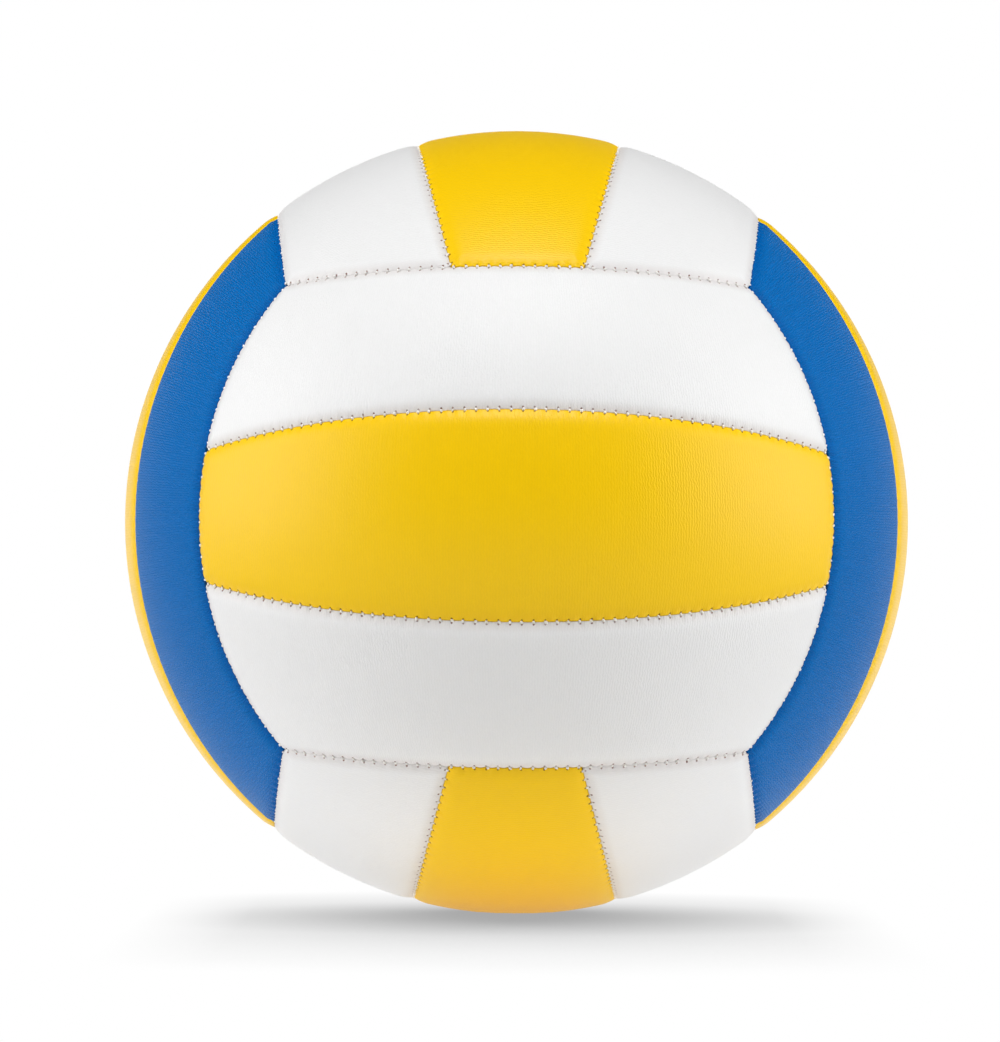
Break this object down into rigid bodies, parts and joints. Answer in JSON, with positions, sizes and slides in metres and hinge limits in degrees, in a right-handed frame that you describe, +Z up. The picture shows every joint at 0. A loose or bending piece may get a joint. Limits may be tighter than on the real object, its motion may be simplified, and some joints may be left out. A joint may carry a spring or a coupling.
{
  "type": "volleyball",
  "caption": "Inflatable volleyball sewn from curved panels in strips over foam and a bladder, with an inflation valve in the back.",
  "frame": {"origin": "centre of the ball", "axes": "+Z up through the top face's middle strip, -Y out of the front face as pictured, +Y out of the valve"},
  "size_m": [0.21, 0.2099, 0.2095],
  "materials": {
    "white_cover": "fine-grained synthetic leather, satin",
    "yellow_cover": "fine-grained synthetic leather, satin",
    "blue_cover": "fine-grained synthetic leather, satin",
    "foam": "closed-cell foam sheet",
    "thread": "waxed polyester thread",
    "bladder_rubber": "matte butyl rubber",
    "valve_rubber": "matte moulded rubber",
    "plug_rubber": "matte soft rubber"
  },
  "bodies": {
    "root": {"front_lower_cover": "white_cover", "front_lower_foam": "foam", "front_middle_cover": "yellow_cover", "front_middle_foam": "foam", "front_upper_cover": "white_cover", "front_upper_foam": "foam", "front_seam_thread": "thread", "back_lower_cover": "white_cover", "back_lower_foam": "foam", "back_middle_cover": "yellow_cover", "back_middle_foam": "foam", "back_upper_cover": "white_cover", "back_upper_foam": "foam", "back_seam_thread": "thread", "right_front_cover": "blue_cover", "right_front_foam": "foam", "right_middle_cover": "yellow_cover", "right_middle_foam": "foam", "right_rear_cover": "blue_cover", "right_rear_foam": "foam", "right_seam_thread": "thread", "left_front_cover": "blue_cover", "left_front_foam": "foam", "left_middle_cover": "yellow_cover", "left_middle_foam": "foam", "left_rear_cover": "blue_cover", "left_rear_foam": "foam", "left_seam_thread": "thread", "top_left_cover": "white_cover", "top_left_foam": "foam", "top_middle_cover": "yellow_cover", "top_middle_foam": "foam", "top_right_cover": "white_cover", "top_right_foam": "foam", "top_seam_thread": "thread", "bottom_left_cover": "white_cover", "bottom_left_foam": "foam", "bottom_middle_cover": "yellow_cover", "bottom_middle_foam": "foam", "bottom_right_cover": "white_cover", "bottom_right_foam": "foam", "bottom_seam_thread": "thread", "bladder": "bladder_rubber", "valve_body": "valve_rubber", "valve_plug": "plug_rubber"}
  },
  "joints": []
}
